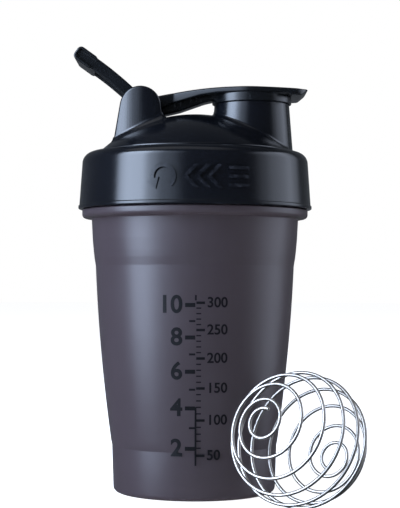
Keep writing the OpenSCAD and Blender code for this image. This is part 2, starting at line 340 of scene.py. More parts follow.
class Paint:
    """A node material whose textures are placed in the piece's own space."""

    def __init__(self, name):
        self.material = bpy.data.materials.new(name)
        self.material.use_nodes = True
        self.tree = self.material.node_tree
        self.shader = self.tree.nodes["Principled BSDF"]
        self.space = self.tree.nodes.new("ShaderNodeTexCoord").outputs["Object"]

    def node(self, kind, settings=None, inputs=None):
        made = self.tree.nodes.new(kind)
        for key, value in (settings or {}).items():
            setattr(made, key, value)
        for key, value in (inputs or {}).items():
            if isinstance(value, bpy.types.NodeSocket):
                self.tree.links.new(value, made.inputs[key])
            else:
                made.inputs[key].default_value = value
        return made

    def stretched(self, scale, source=None):
        inputs = {"Vector": source or self.space, "Scale": scale}
        return self.node("ShaderNodeMapping", inputs=inputs).outputs["Vector"]

    def noise(self, scale, detail=3.0, roughness=0.55, space=None):
        inputs = {
            "Vector": space or self.space,
            "Scale": scale,
            "Detail": detail,
            "Roughness": roughness,
        }
        return self.node("ShaderNodeTexNoise", inputs=inputs).outputs["Fac"]

    def span(self, value, low, high, out_low, out_high):
        """Maps value from the span low..high to out_low..out_high, and clamps it."""
        inputs = {
            "Value": value,
            "From Min": low,
            "From Max": high,
            "To Min": out_low,
            "To Max": out_high,
        }
        return self.node("ShaderNodeMapRange", inputs=inputs).outputs["Result"]

    def maths(self, operation, a, b):
        made = self.node("ShaderNodeMath", {"operation": operation}, {0: a, 1: b})
        return made.outputs["Value"]

    def blend(self, share, a, b):
        """Colour a where share is 0 and colour b where it is 1."""
        made = self.node("ShaderNodeMix", {"data_type": "RGBA"}, {"Factor": share})
        for socket, colour in ((made.inputs[6], a), (made.inputs[7], b)):
            if isinstance(colour, bpy.types.NodeSocket):
                self.tree.links.new(colour, socket)
            else:
                socket.default_value = (*colour, 1)
        return made.outputs[2]

    def bump(self, height, distance, strength=1.0, under=None):
        """A normal from a height map, distance in millimetres for a height of 1."""
        inputs = {"Height": height, "Distance": distance * MM, "Strength": strength}
        if under is not None:
            inputs["Normal"] = under
        return self.node("ShaderNodeBump", inputs=inputs).outputs["Normal"]

    def set(self, **inputs):
        for key, value in inputs.items():
            socket = self.shader.inputs[key.replace("_", " ")]
            if isinstance(value, bpy.types.NodeSocket):
                self.tree.links.new(value, socket)
            else:
                socket.default_value = value
        return self.material


def moulded_plastic(name, dark, light, gloss):
    """Glossy moulded plastic: faint mottling, orange peel, hairlines, and lighter edges that are partly
    rubbed wear and partly a painted highlight.
    """
    p = Paint(name)
    mottle = p.noise(55, 4)
    # Convex edges get a paler colour: partly rubbed wear, partly a painted highlight along the rounded
    # edges where light would catch them.
    edge = p.span(p.node("ShaderNodeNewGeometry").outputs["Pointiness"], 0.53, 0.62, 0, 0.5)
    rub_and_edge_highlight = p.maths("MULTIPLY", edge, p.span(p.noise(420, 5), 0.4, 0.7, 0, 1))
    colour = p.blend(rub_and_edge_highlight, p.blend(mottle, dark, light), [4 * c + 0.01 for c in light])
    smudge = p.span(p.noise(38, 5, 0.6), 0.45, 0.7, 0, 0.05)
    grain = p.span(p.noise(900, 2), 0.3, 0.7, 0, 0.02)
    rough = p.maths("ADD", p.maths("ADD", smudge, grain), gloss)
    hairs = p.span(p.noise(1, 2, space=p.stretched((90, 90, 5200))), 0.62, 0.74, 0, 1)
    peel = p.bump(p.noise(420, 2), 0.0018)
    normal = p.bump(hairs, 0.0005, under=peel)
    return p.set(
        Base_Color=colour,
        Roughness=p.maths("ADD", rough, p.maths("MULTIPLY", rub_and_edge_highlight, 0.15)),
        IOR=1.5,
        Normal=normal,
    )


def smoky_plastic():
    """Translucent smoky plastic with a frosted satin skin and faint flow lines."""
    p = Paint("smoky_plastic")
    cloud = p.noise(26, 4, 0.6)
    flow = p.noise(1, 3, space=p.stretched((190, 190, 14)))
    share = p.maths("ADD", p.maths("MULTIPLY", cloud, 0.6), p.maths("MULTIPLY", flow, 0.4))
    colour = p.blend(share, (0.062, 0.047, 0.056), (0.084, 0.065, 0.076))
    frost = p.span(p.noise(1500, 2), 0.3, 0.7, 0, 0.06)
    handled = p.span(p.noise(45, 5, 0.6), 0.45, 0.7, 0, 0.06)
    rough = p.maths("ADD", p.maths("ADD", frost, handled), 0.3)
    normal = p.bump(flow, 0.004, under=p.bump(p.noise(1100, 2), 0.004))
    return p.set(
        Base_Color=colour,
        Roughness=rough,
        IOR=1.49,
        Transmission_Weight=0.44,
        Normal=normal,
    )


def printed_ink():
    """Screen-printed ink: a dense near-black with pinholes and a slightly dry surface."""
    p = Paint("printed_ink")
    cover = p.span(p.noise(700, 4, 0.7), 0.25, 0.75, 0, 1)
    colour = p.blend(cover, (0.002, 0.002, 0.003), (0.005, 0.005, 0.007))
    rough = p.span(p.noise(320, 3), 0.3, 0.7, 0.5, 0.62)
    return p.set(
        Base_Color=colour, Roughness=rough, Specular_IOR_Level=0.25, Normal=p.bump(p.noise(1300, 2), 0.004)
    )


def steel_wire():
    """Bright drawn steel: die lines along the wire, and a little change in polish."""
    p = Paint("steel_wire")
    along = p.node("ShaderNodeUVMap", {"uv_map": "Wire"}).outputs["UV"]
    lines = p.noise(1, 3, space=p.stretched((6, 46, 1), along))
    stain = p.noise(120, 4)
    colour = p.blend(stain, (0.43, 0.40, 0.365), (0.54, 0.505, 0.46))
    rough = p.maths("ADD", p.span(lines, 0.35, 0.7, 0, 0.1), p.span(stain, 0.3, 0.7, 0.3, 0.38))
    return p.set(
        Base_Color=colour,
        Metallic=1.0,
        Roughness=rough,
        Normal=p.bump(lines, 0.012),
    )


def silicone():
    """Pale grey silicone, matt, with a dusting of fine grain."""
    p = Paint("silicone")
    colour = p.blend(p.noise(160, 4), (0.44, 0.45, 0.46), (0.56, 0.57, 0.58))
    rough = p.span(p.noise(900, 3), 0.3, 0.7, 0.5, 0.66)
    return p.set(
        Base_Color=colour,
        Roughness=rough,
        Subsurface_Weight=0.1,
        Normal=p.bump(p.noise(1400, 2), 0.01),
    )


# ---------------------------------------------------------------------------------------------
# Cup
# ---------------------------------------------------------------------------------------------


def body_path(inset=0):
    """The cup's bulged taper and its grip step, from the foot up to the collar."""
    low, top = BODY_LOW, BODY_TOP
    count = 24
    path = []
    for i in range(count + 1):
        t = i / count
        bulge = 4 * BODY_BULGE * t * (1 - t)
        path.append((low[0] + (top[0] - low[0]) * t + bulge - inset, low[1] + (top[1] - low[1]) * t))
    step = [(top[0] + out - inset, top[1] + rise, 6) for out, rise in STEP[:-1]]
    return path[:-1] + [(*path[-1], 3)] + step


def cup_profile():
    foot_ring = [(0, 1), (1.4, 1, 0.3), (1.8, 1.4, 0.3), (12, 1.4)]
    foot_ring += [(12.3, 1.55, 0.1), (25.6, 1.55, 0.6)]
    foot = [(29, 0, 0.7), (FOOT_R, 0, 2), (FOOT_TOP_R, FOOT_Z, 0.5)]
    collar = [
        (BODY_TOP[0] + STEP[-1][0], COLLAR_Z[0], 0.7),
        (COLLAR_R, COLLAR_Z[0], 1.6),
        (COLLAR_R, COLLAR_Z[1], 0.45),
        (NECK_R, COLLAR_Z[1], 0.5),
    ]
    rim = [(NECK_R, RIM_Z, 0.8), (NECK_IN_R, RIM_Z, 0.8), (NECK_IN_R, COLLAR_Z[0] + 1, 1.5)]
    floor = [(FOOT_TOP_R - WALL, FOOT_Z, 1), (FOOT_R - WALL, FLOOR_Z, 5), (0, FLOOR_Z)]
    path = foot_ring + foot + body_path() + collar + rim + body_path(WALL)[::-1] + floor
    return rounded(path)


def thread(name, start, low_z, foot, crest, side):
    """One start of a thread, from (radius, width) at its foot to (radius, width) at its crest."""
    steps = 96
    rings = []
    for i in range(steps + 1):
        turn = THREAD_WRAP * i / steps
        fade = min(1, (i + 0.5) / 9, (steps - i + 0.5) / 9)
        reach = foot[0] + (crest[0] - foot[0]) * math.sin(fade * math.pi / 2)
        z = low_z + LEAD * turn / 360
        tooth = rounded(
            [
                (foot[0], z - foot[1] / 2),
                (reach, z - crest[1] / 2, 0.2),
                (reach, z + crest[1] / 2, 0.2),
                (foot[0], z + foot[1] / 2),
            ],
            steps=3,
        )
        a = math.radians(start + turn)
        rings.append([(r * math.cos(a), r * math.sin(a), h) for r, h in tooth[::side]])
    return skin(name, rings)


def make_cup():
    cup = lathe("cup_body", cup_profile())
    turns = [
        thread("turn", 360 * k / STARTS, CUP_THREAD_Z, (NECK_R - 0.4, 2.4), (NECK_R + 1.5, 1), 1)
        for k in range(STARTS)
    ]
    return combine(cup, turns)


# ---------------------------------------------------------------------------------------------
# Print on the cup
# ---------------------------------------------------------------------------------------------

INK_T = 0.06  # how far the ink stands proud
OUNCE = 29.57  # millilitres
SCALE_X = 0.6
LINE_HALF = 0.35
TICK_START = 0.2  # less than LINE_HALF, so that ticks start inside the line
OUTSIDE = rounded(body_path())
INSIDE = rounded(body_path(WALL) + [(NECK_IN_R, COLLAR_Z[0] + 1)])


def fill_height(millilitres):
    """Height to which that volume fills the cup."""
    z, volume, step = FLOOR_Z, 0.0, 0.05
    while volume < millilitres * 1000:
        r = at(INSIDE, z, by=1) if z > BODY_LOW[1] else FOOT_TOP_R - WALL
        volume += math.pi * r * r * step
        z += step
    return z


def bar(left, right, z, thick):
    return [(left, z - thick / 2), (right, z - thick / 2), (right, z + thick / 2), (left, z + thick / 2)]


def flat_shape(outline):
    """A flat outline as mesh data: points and one face."""
    return outline, [tuple(range(len(outline)))]


def flat_number(text, x, z, size, weight, align):
    """A number as flat mesh data, in the program's own plain typeface."""
    curve = bpy.data.curves.new("number", "FONT")
    curve.body = text
    curve.size = size
    curve.offset = weight
    curve.align_x = align
    curve.align_y = "CENTER"
    holder = bpy.data.objects.new("number", curve)
    bpy.context.scene.collection.objects.link(holder)
    graph = bpy.context.evaluated_depsgraph_get()
    mesh = bpy.data.meshes.new_from_object(holder.evaluated_get(graph), depsgraph=graph)
    points = [(x + v.co.x, z + v.co.y) for v in mesh.vertices]
    faces = [tuple(f.vertices) for f in mesh.polygons]
    bpy.data.objects.remove(holder)
    bpy.data.meshes.remove(mesh)
    return points, faces


def wrap_flat(name, shapes, radius_at, low, high, cell):
    """Flat shapes made thick and bent round the cup's axis, facing -Y."""
    bm = bmesh.new()
    for points, faces in shapes:
        verts = [bm.verts.new((x, 0, z)) for x, z in points]
        for face in faces:
            if len(set(face)) == len(face):
                bm.faces.new([verts[i] for i in face])
    bmesh.ops.remove_doubles(bm, verts=bm.verts, dist=1e-4)
    span = max(abs(v.co.x) for v in bm.verts)
    for i in range(-int(span / cell), int(span / cell) + 1):
        everything = bm.verts[:] + bm.edges[:] + bm.faces[:]
        bmesh.ops.bisect_plane(bm, geom=everything, plane_co=(i * cell, 0, 0), plane_no=(1, 0, 0))
    bmesh.ops.recalc_face_normals(bm, faces=bm.faces)
    grown = bmesh.ops.extrude_face_region(bm, geom=bm.faces[:])
    lifted = {v for v in grown["geom"] if isinstance(v, bmesh.types.BMVert)}
    for v in bm.verts:
        radius = radius_at(v.co.z) + (high if v in lifted else low)
        a = v.co.x / radius_at(v.co.z)
        v.co = Vector((radius * math.sin(a), -radius * math.cos(a), v.co.z)) * MM
    bmesh.ops.recalc_face_normals(bm, faces=bm.faces)
    mesh = bpy.data.meshes.new(name)
    bm.to_mesh(mesh)
    bm.free()
    piece = bpy.data.objects.new(name, mesh)
    bpy.context.scene.collection.objects.link(piece)
    return piece


def scale_marks(volumes, unit, every, side, ticks, number):
    """Ticks on one side of the scale's line, with a number at each volume that every divides.

    ticks has the (length, thickness) of a plain tick and of a numbered one. number has its
    distance from the line, its size and its weight.
    """
    shapes = []
    for v in volumes:
        z = fill_height(v * unit)
        numbered = v % every == 0
        length, thick = ticks[numbered]
        left, right = sorted((SCALE_X + side * TICK_START, SCALE_X + side * length))
        shapes.append(flat_shape(bar(left, right, z, thick)))
        if numbered:
            away, size, weight = number
            align = "LEFT" if side > 0 else "RIGHT"
            shapes.append(flat_number(str(v), SCALE_X + side * away, z, size, weight, align))
    return shapes


def make_scale():
    """A measuring scale: fluid ounces on the left of its line, and millilitres on the right."""
    left, right = SCALE_X - LINE_HALF, SCALE_X + LINE_HALF
    low, high = fill_height(50) - 4, fill_height(300) + 3
    # A known fault: this is one straight strip, so the cup's bulging wall hides its middle.
    shapes = [flat_shape([(left, low), (right, low), (right, high), (left, high)])]
    shapes += scale_marks(range(50, 301, 10), 1, 50, 1, [(2.1, 0.5), (3.6, 1)], (4.4, 5.6, 0.1))
    shapes += scale_marks(range(2, 11), OUNCE, 2, -1, [(2.6, 0.8), (4.2, 1.6)], (5.2, 9.6, 0.25))
    return wrap_flat("cup_scale", shapes, lambda z: at(OUTSIDE, z, by=1), -0.05, INK_T, 0.8)


# ---------------------------------------------------------------------------------------------
# Lid
# ---------------------------------------------------------------------------------------------


def sphere_path(radius, start, end, steps=30):
    """Points over a sphere about the dome's centre, by their distance from the axis."""
    rows = [start + (end - start) * i / steps for i in range(steps + 1)]
    return [(r, DOME_Z0 + math.sqrt(radius * radius - r * r)) for r in rows]


def lid_top():
    """Outside of the lid from the skirt's lower edge to the top of the dome."""
    bead = [(SKIRT_R, SKIRT_Z, 0.5), (SKIRT_R, SKIRT_Z + BEAD_H[0], 0.3)]
    bead.append((SKIRT_R - BEAD_OUT, SKIRT_Z + BEAD_H[1], 0.25))
    shoulder = arc(SKIRT_TOP[0] - SHOULDER_R, SKIRT_TOP[1], SHOULDER_R, 2, 80, 14)
    step = [(*GROOVE_EDGE, 0.35), (GROOVE_R[1], GROOVE_Z, 0.3), (GROOVE_R[0], GROOVE_Z, 0.3)]
    edge = (DOME_EDGE_R, sphere_path(DOME_R, DOME_EDGE_R, 0)[0][1], 0.5)
    return bead + shoulder + step + [edge] + sphere_path(DOME_R, DOME_EDGE_R - 1, 0)


LID_TOP = rounded(lid_top())


def lid_z(x, y):
    """Height of the lid's outside above a point."""
    return at(LID_TOP[::-1], math.hypot(x, y))


def lid_profile():
    hollow = sphere_path(DOME_R - DOME_WALL, 0, CAVITY_R)
    bore = [(CAVITY_R, SHELF_Z, 0.4), (BORE_R, SHELF_Z, 0.6)]
    bore += [(BORE_R, SKIRT_Z + 1.6, 0.3), (BORE_R + 1, SKIRT_Z, 0.2)]
    return rounded(hollow + bore + lid_top())


def foot_fillet(name, outline, radii):
    """A ring that fills the corner between the lid's outside and a wall on that outline."""
    sections = []
    for radius in radii:
        curve = [(radius - u, radius - v) for u, v in arc(0, 0, radius, 0, 90, 12)]
        end = [(radius + 0.2, -0.06), (radius + 0.2, -1.2)]
        sections.append([(-0.8, -1.2), (-0.8, radius), *curve, *end])
    rings = []
    for step in zip(*sections):
        spots = offset(outline, [away for away, rise in step])
        rings.append([(x, y, lid_z(x, y) + rise) for (x, y), (away, rise) in zip(spots, step)])
    return skin(name, rings, round_trip=True)


def spout_radius(z):
    return SPOUT_LOW[0] + (SPOUT_TOP[0] - SPOUT_LOW[0]) * (z - SPOUT_LOW[1]) / (SPOUT_TOP[1] - SPOUT_LOW[1])


def spout_foot():
    """Outline of the spout where it meets the dome."""
    outline = []
    for k in range(180):
        a = math.tau * k / 180
        r = SPOUT_LOW[0]
        for _ in range(5):
            r = spout_radius(lid_z(SPOUT_X + r * math.cos(a), r * math.sin(a)))
        outline.append((SPOUT_X + r * math.cos(a), r * math.sin(a)))
    return outline


def ear_outline():
    """Side view of an ear: a round head on a flared foot, anticlockwise."""
    x, z, r = EAR_HEAD
    sides = []
    for foot_x, side in ((EAR_FOOT_X[1], 1), (EAR_FOOT_X[0], -1)):
        dx, dz = foot_x - x, EAR_FOOT_Z + 1 - z
        reach = math.hypot(dx, dz)
        sides.append(math.degrees(math.atan2(dz, dx) + side * math.acos(r / reach)))
    end = sides[1] + 360 if sides[1] < sides[0] else sides[1]
    head = arc(x, z, r, sides[0], end, 48)
    low = EAR_FOOT_Z - 3
    return [(EAR_FOOT_X[0], low), (EAR_FOOT_X[1], low), (EAR_FOOT_X[1], EAR_FOOT_Z + 1), *head,
            (EAR_FOOT_X[0], EAR_FOOT_Z + 1)]


def ear_share(y):
    """0 at an ear's inner face and 1 at its outer one."""
    return (abs(y) - EAR_Y[0]) / (EAR_Y[1] - EAR_Y[0])


def ear_bow(x, y):
    """How far the bowed outer face draws a point of an ear in towards the middle."""
    return ear_share(y) * (EAR_BOW[1] - math.sqrt(EAR_BOW[1] ** 2 - (x - EAR_BOW[0]) ** 2))


def ear_foot(side):
    """Outline of an ear where it meets the dome, and the fillet's radius at each of its points."""
    view = ear_outline()
    front = view[2:20]  # the edge towards the spout, from the foot up
    back = view[-20:]  # the edge towards the loop, down to the foot
    inner, outer = side * EAR_Y[0], side * EAR_Y[1]
    steps, corner = 20, 0.9
    far = [(u, outer) for u in range(3, steps - 2)]
    near = [(steps, inner, corner), (0, inner, corner)]
    plan = rounded([(0, outer, corner), *far, (steps, outer, corner), *near], closed=True)
    if side > 0:
        plan = plan[::-1]
    outline, radii = [], []
    for u, y in plan:
        z = 150
        for _ in range(8):
            ends = at(back[::-1], z, by=1), at(front, z, by=1)
            x = ends[0] + (ends[1] - ends[0]) * u / steps
            z = lid_z(x, y)
        outline.append((x, y - side * ear_bow(x, y)))
        flare = 1.5 + 1.8 * u / steps
        radii.append(1.1 + (flare - 1.1) * min(1, max(0, 1.5 * ear_share(y))))
    return outline, radii


def make_ear(side):
    """One hinge ear, with rounded edges and its outer face bowed about an upright axis."""
    y0, y1 = sorted((side * EAR_Y[0], side * EAR_Y[1]))
    ear = slab("ear", ear_outline(), y0, y1, 0.85, lambda u, v, w: (u, w, v), 6)
    bm = bmesh.new()
    bm.from_mesh(ear.data)
    for k in range(int(EAR_FOOT_X[0]) + 1, int(EAR_FOOT_X[1])):
        everything = bm.verts[:] + bm.edges[:] + bm.faces[:]
        bmesh.ops.bisect_plane(bm, geom=everything, plane_co=(k * MM, 0, 0), plane_no=(1, 0, 0))
    for v in bm.verts:
        v.co.y -= side * ear_bow(v.co.x / MM, v.co.y / MM) * MM
    bm.to_mesh(ear.data)
    bm.free()
    return ear


def make_lid():
    lid = lathe("lid_shell", lid_profile())
    start_z, top_z = SPOUT_LOW[1] + 1.5, SPOUT_TOP[1]
    spout = rounded(
        [(0, start_z), (spout_radius(start_z), start_z), (SPOUT_TOP[0], top_z, 0.9), (0, top_z)]
    )
    grown = [foot_fillet("spout_foot", spout_foot(), [1.6] * 180), lathe("spout", spout, on_spout, 180)]
    for side in (-1, 1):
        grown += [foot_fillet("ear_foot", *ear_foot(side)), make_ear(side)]
    # One at a time, and each fillet before the wall it holds: an ear joined first hangs Blender.
    for part in grown:
        combine(lid, [part])
    low_z, wide_r = SPOUT_LOW[1] - 9, SPOUT_BORE_R + 3
    way = [(0, low_z), (SPOUT_BORE_R, low_z), (SPOUT_BORE_R, top_z, 0.8)]
    way += [(wide_r, top_z + 0.001), (wide_r, top_z + 2), (0, top_z + 2)]
    under_r, under_z = CAVITY_R - 0.02, SHELF_Z + 0.5
    hollow = sphere_path(DOME_R - DOME_WALL, 0, under_r)
    under = lathe("under", rounded([(0, under_z), (under_r, under_z)] + hollow[::-1]))
    socket_r = PIN_R + PIN_GAP
    socket = [(0, -SOCKET_HALF), (socket_r, -SOCKET_HALF), (socket_r, SOCKET_HALF), (0, SOCKET_HALF)]
    holes = [under, lathe("way", rounded(way), on_spout, 180), lathe("socket", socket, on_hinge, 64)]
    combine(lid, holes, "DIFFERENCE")
    foot, crest = (BORE_R + 0.4, 2.6), (NECK_R + 0.4, 1.1)
    turns = [
        thread("turn", 360 * k / STARTS, CUP_THREAD_Z - PITCH / 2, foot, crest, -1)
        for k in range(STARTS)
    ]
    return combine(lid, turns)


SIGN_Z = 128.3
SIGN_T = 0.3
RING_X = -12.4
RING_R = 4.4
RING_HALF = 0.8
RING_ENDS = (-50, 200)
HEAD = [(0, -3.6), (2.6, 0.4), (-2.6, 0.4)]
CHEVRON_X = -4.6
CHEVRON_PITCH = 4.6
CHEVRON_RUN = 4.4
CHEVRON_RISE = 4.6
CHEVRON_W = 2
SIGN_BAR_X = (13.4, 22)
SIGN_BAR_T = 1.3
SIGN_BAR_PITCH = 3.4


def make_relief():
    """A moulded sign for opening the lid: a turning arrow, three chevrons and three bars."""
    start, end = RING_ENDS
    band = arc(RING_X, SIGN_Z, RING_R + RING_HALF, start, end, 40)
    band += arc(RING_X, SIGN_Z, RING_R - RING_HALF, end, start, 40)
    tip, turn = math.radians(end), math.radians(end - 180)
    x, z = RING_X + RING_R * math.cos(tip), SIGN_Z + RING_R * math.sin(tip)
    c, s = math.cos(turn), math.sin(turn)
    shapes = [flat_shape(band), flat_shape([(x + u * c - v * s, z + u * s + v * c) for u, v in HEAD])]
    for k in range(3):
        x = CHEVRON_X + CHEVRON_PITCH * k
        near, far = x + CHEVRON_RUN, x + (CHEVRON_RUN + CHEVRON_W)
        top, low = SIGN_Z + CHEVRON_RISE, SIGN_Z - CHEVRON_RISE
        shapes.append(flat_shape([(x, SIGN_Z), (near, top), (far, top), (x + CHEVRON_W, SIGN_Z),
                                  (far, low), (near, low)]))
    for k in (1, 0, -1):
        shapes.append(flat_shape(bar(*SIGN_BAR_X, SIGN_Z + k * SIGN_BAR_PITCH, SIGN_BAR_T)))
    skirt = [p for p in LID_TOP if p[1] < SKIRT_TOP[1] and p[0] > SKIRT_TOP[0] - 0.2]
    return wrap_flat("lid_sign", shapes, lambda z: at(skirt, z, by=1), -SIGN_T, SIGN_T, 1.2)


# ---------------------------------------------------------------------------------------------
# Seal, flip cap, carry loop
# ---------------------------------------------------------------------------------------------


def make_seal():
    r0, r1 = NECK_IN_R - 0.2, seal_high.x
    z0, z1 = seal_low.z, seal_high.z
    profile = rounded([(r0, z0, 0.3), (r1, z0, 0.3), (r1, z1, 0.3), (r0, z1, 0.3)], closed=True)
    return lathe("seal_ring", profile)


def cap_half_width(x):
    """Half of the flip cap's width: the arm, then the round plate, then the finger tab."""
    tab_r, tab_x, tab_y = 8, CAP_TIP_X - 8, 7
    spread = math.atan2(tab_y, tab_x - SPOUT_X) + math.acos(
        (CAP_PLATE_R - tab_r) / math.hypot(tab_x - SPOUT_X, tab_y)
    )
    a = (SPOUT_X + CAP_PLATE_R * math.cos(spread), CAP_PLATE_R * math.sin(spread))
    b = (tab_x + tab_r * math.cos(spread), tab_y + tab_r * math.sin(spread))
    if x > b[0]:
        return tab_y + math.sqrt(max(0, tab_r**2 - (x - tab_x) ** 2))
    if x > a[0]:
        return a[1] + (b[1] - a[1]) * (x - a[0]) / (b[0] - a[0])
    run, drop = SPOUT_X - ARM_FLARE_X, ARM_HALF
    slope = math.asin(CAP_PLATE_R / math.hypot(run, drop)) - math.atan2(drop, run)
    if x > SPOUT_X - CAP_PLATE_R * math.sin(slope):
        return math.sqrt(CAP_PLATE_R**2 - (x - SPOUT_X) ** 2)
    return ARM_HALF + max(0, x - ARM_FLARE_X) * math.tan(slope)


def cap_crown(x):
    """Height of the flip cap's arched top."""
    r = CROWN_R[0] if x < CROWN_X else CROWN_R[1]
    return CAP_TOP - r + math.sqrt(r * r - (x - CROWN_X) ** 2)


ARM_UNDER = rounded(
    [
        (HINGE[0] - HUB_R, 159.5), (HINGE[0] - 3, 157, 3), (-17, 157.8, 6), (-10.3, 161.2, 8),
        (2.1, 164.3, 8), (9.1, CAP_PLATE_Z, 6), (38.5, CAP_PLATE_Z, 0.4),
        (39.6, TAB_LOW_Z, 0.6), (43.6, TAB_LOW_Z, 1.5), (CAP_TIP_X, TIP_LOW_Z),
    ]
)
RIB_UNDER = rounded(
    [(HINGE[0], 156.4), (-12.5, 157.1, 8), (-6.3, 158.6, 8), (3.9, 162.2, 12), (8.4, 163.2)]
)


def cap_rings(xs, half_at, top_at, low_at, drop):
    """Cross sections of the flip cap, with rounded edges and a top that falls by drop to them."""
    tip_r = 0.7
    rings = []
    for x in xs:
        half, top, low = half_at(x), top_at(x), low_at(x)
        if x > CAP_TIP_X - tip_r:
            share = max(0.02, math.sqrt(max(0, 1 - ((x - CAP_TIP_X + tip_r) / tip_r) ** 2)))
            middle = (top + low) / 2
            top, low = middle + (top - middle) * share, middle + (low - middle) * share
        edge = min(0.8, (top - low) * 0.35)
        fall = min(drop, (top - low) * 0.2)
        crown = [(half * k / 4, top - fall * (k / 4) ** 2) for k in (3, 2, 1, 0, -1, -2, -3)]
        section = [(-half, low, edge), (half, low, edge), (half, top - fall, edge), *crown]
        section.append((-half, top - fall, edge))
        rings.append([(x, y, z) for y, z in rounded(section, closed=True)])
    return rings


def make_cap():
    xs = [HINGE[0] - HUB_R + 1.2 + 0.5 * k for k in range(128)]
    xs += [38 + 0.15 * k for k in range(42)]
    xs += [CAP_TIP_X - 2 * (1 - math.sin(math.radians(a))) for a in range(0, 91, 6)]
    xs = sorted({round(x, 3) for x in xs if x <= CAP_TIP_X})
    rings = cap_rings(xs, cap_half_width, cap_crown, lambda x: at(ARM_UNDER, x), 0.5)
    rib_xs = [HINGE[0] + 0.5 * k for k in range(62)]
    rib = cap_rings(
        rib_xs, lambda x: RIB_HALF, lambda x: at(ARM_UNDER, x) + 0.8, lambda x: at(RIB_UNDER, x), 0
    )
    cap = skin("cap_shell", rings)
    plug = rounded(
        [(0, CAP_SEAT_Z - 0.3), (PLUG_R[0], CAP_SEAT_Z - 0.3, 0.6), (PLUG_R[0], PLUG_LOW_Z, 0.4),
         (PLUG_R[1], PLUG_LOW_Z, 0.6), (PLUG_R[2], CAP_SEAT_Z, 0.3), (CAP_RING_R[0], CAP_SEAT_Z, 0.2),
         (CAP_RING_R[0], CAP_RING_Z, 0.25), (CAP_RING_R[1], CAP_RING_Z, 0.3),
         (CAP_RING_R[1], CAP_PLATE_Z + 0.4), (0, CAP_PLATE_Z + 0.4)]
    )
    hub = rounded(
        [(0, -PIN_HALF), (PIN_R, -PIN_HALF, 0.3), (PIN_R, -HUB_HALF, 0.2), (HUB_R, -HUB_HALF, 0.5),
         (HUB_R, HUB_HALF, 0.5), (PIN_R, HUB_HALF, 0.2), (PIN_R, PIN_HALF, 0.3), (0, PIN_HALF)]
    )
    parts = [skin("rib", rib), lathe("plug", plug, on_spout, 160), lathe("hub", hub, on_hinge, 96)]
    return combine(cap, parts)


def on_loop(u, w, y):
    """A point of the carry loop: u along it from the hinge, and w at right angles, upwards."""
    a = math.radians(LOOP_ANGLE)
    x = HINGE[0] - u * math.cos(a) + w * math.sin(a)
    return (x, y, HINGE[1] + u * math.sin(a) + w * math.cos(a))


def bar_outline(inset, extra=0):
    """Side view of the loop's end bar, reaching extra further towards the hinge."""
    half_l, half_t, r = BAR_L / 2 - inset, BAR_T / 2 - inset, BAR_ROUND - inset
    near = -half_l - extra
    box = [(near, -half_t, r), (half_l, -half_t, r), (half_l, half_t, r), (near, half_t, r)]
    middle, tilt = LOOP_REACH - BAR_L / 2, math.radians(-BAR_TILT)
    c, s = math.cos(tilt), math.sin(tilt)
    return [(middle + u * c - w * s, u * s + w * c) for u, w in rounded(box, closed=True)]


def make_loop():
    span, bow, half = LOOP_REACH - BAR_L / 2, LOOP_BOW, LEG_T / 2
    bow_r = (span * span / 4 + bow * bow) / (2 * bow)
    spread = math.degrees(math.asin(span / 2 / bow_r))
    leg = (arc(span / 2, bow - bow_r, bow_r - half, 90 + spread, 90 - spread, 24)
           + arc(span / 2, bow - bow_r, bow_r + half, 90 - spread, 90 + spread, 24))
    loop = slab("loop_shell", bar_outline(0), -BAR_HALF, BAR_HALF, 0.5, on_loop)
    grown, holes = [], []
    for side in (-1, 1):
        y0, y1 = sorted((side * LOOP_LEG_Y[0], side * LOOP_LEG_Y[1]))
        grown.append(slab("leg", leg, y0, y1, 0.5, on_loop))
        grown.append(slab("eye", arc(0, 0, EYE_R, 0, 352.5, 47), y0, y1, 0.4, on_loop))
        holes.append(slab("hole", arc(0, 0, PIN_R + EYE_GAP, 0, 352.5, 47), y0 - 1, y1 + 1, 0.1, on_loop))
        y0, y1 = sorted((side * LOOP_LEG_Y[1], side * (BAR_HALF + 1)))
        holes.append(slab("recess", bar_outline(RIM_T, 4), y0, y1, 0.3, on_loop))
    combine(loop, grown)
    combine(loop, holes, "DIFFERENCE")
    return soften(loop, 0.22, 4)


# ---------------------------------------------------------------------------------------------
# Whisk ball
# ---------------------------------------------------------------------------------------------

WIRE_R = 0.7
BALL_R = 25.9
BALL_AT = (40.4, -49.4)
BALL_TURNS = 9.5
BALL_PHASE = 71
BALL_POLE = (-129.2, 19.9)  # azimuth and height in degrees of the winding's near pole
END_RING = 12


def ball_frame():
    azimuth, height = (math.radians(a) for a in BALL_POLE)
    flat = math.cos(height)
    pole = Vector((flat * math.cos(azimuth), flat * math.sin(azimuth), math.sin(height)))
    side_u = Vector((0, 0, 1)).cross(pole).normalized()
    return pole, side_u, pole.cross(side_u)


